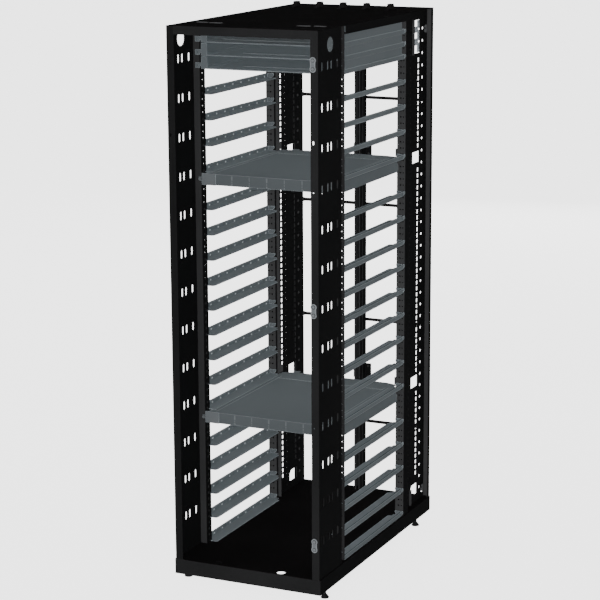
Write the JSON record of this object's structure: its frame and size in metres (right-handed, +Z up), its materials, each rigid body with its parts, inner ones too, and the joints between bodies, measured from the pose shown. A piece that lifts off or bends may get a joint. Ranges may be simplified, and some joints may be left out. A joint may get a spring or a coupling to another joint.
{
  "type": "four post open frame rack",
  "caption": "Tall open frame rack with perforated corner posts, a solid base and roof, pairs of side support rails, fixed shelves, shallow top trays and levelling feet.",
  "frame": {"origin": "centre of the footprint, on the floor under the levelling feet", "axes": "+Z up along the posts, +X to the right seen from the front, front of the rack towards -Y"},
  "size_m": [0.6, 1.1036, 2.113],
  "materials": {
    "frame_black": "satin black powder coat",
    "housing_black": "satin black powder coat",
    "rail_grey": "slate grey powder coat",
    "shelf_grey": "slate grey powder coat",
    "tray_grey": "slate grey powder coat",
    "hinge_silver": "zinc plated, dull",
    "screw_steel": "plated, knurled",
    "foot_black": "blackened steel",
    "conductor": "dull tin plate in shadow"
  },
  "bodies": {
    "root": {"base_front_beam": "frame_black", "base_left_beam": "frame_black", "base_rear_beam": "frame_black", "base_right_beam": "frame_black", "bus_bar_conductors": "conductor", "bus_bar_housing": "housing_black", "floor_panel": "frame_black", "front_left_post": "frame_black", "front_right_post": "frame_black", "hinge_plate_bottom": "hinge_silver", "hinge_plate_middle": "hinge_silver", "hinge_plate_top": "hinge_silver", "levelling_foot_front_left": "foot_black", "levelling_foot_front_right": "foot_black", "levelling_foot_rear_left": "foot_black", "levelling_foot_rear_right": "foot_black", "rear_clip_strip": "rail_grey", "rear_cross_bar_1": "frame_black", "rear_cross_bar_2": "frame_black", "rear_cross_bar_3": "frame_black", "rear_cross_bar_4": "frame_black", "rear_left_post": "frame_black", "rear_right_post": "frame_black", "roof_front_beam": "frame_black", "roof_left_beam": "frame_black", "roof_panel": "frame_black", "roof_rear_beam": "frame_black", "roof_right_beam": "frame_black", "roof_tie_brackets": "frame_black", "shelf_lower": "shelf_grey", "shelf_upper": "shelf_grey", "support_rails_left_lower": "rail_grey", "support_rails_left_middle": "rail_grey", "support_rails_left_top": "rail_grey", "support_rails_left_upper": "rail_grey", "support_rails_right_lower": "rail_grey", "support_rails_right_middle": "rail_grey", "support_rails_right_top": "rail_grey", "support_rails_right_upper": "rail_grey", "thumb_screws_lower": "screw_steel", "thumb_screws_upper": "screw_steel", "tray_bottom": "tray_grey", "tray_middle": "tray_grey", "tray_top": "tray_grey"}
  },
  "joints": []
}
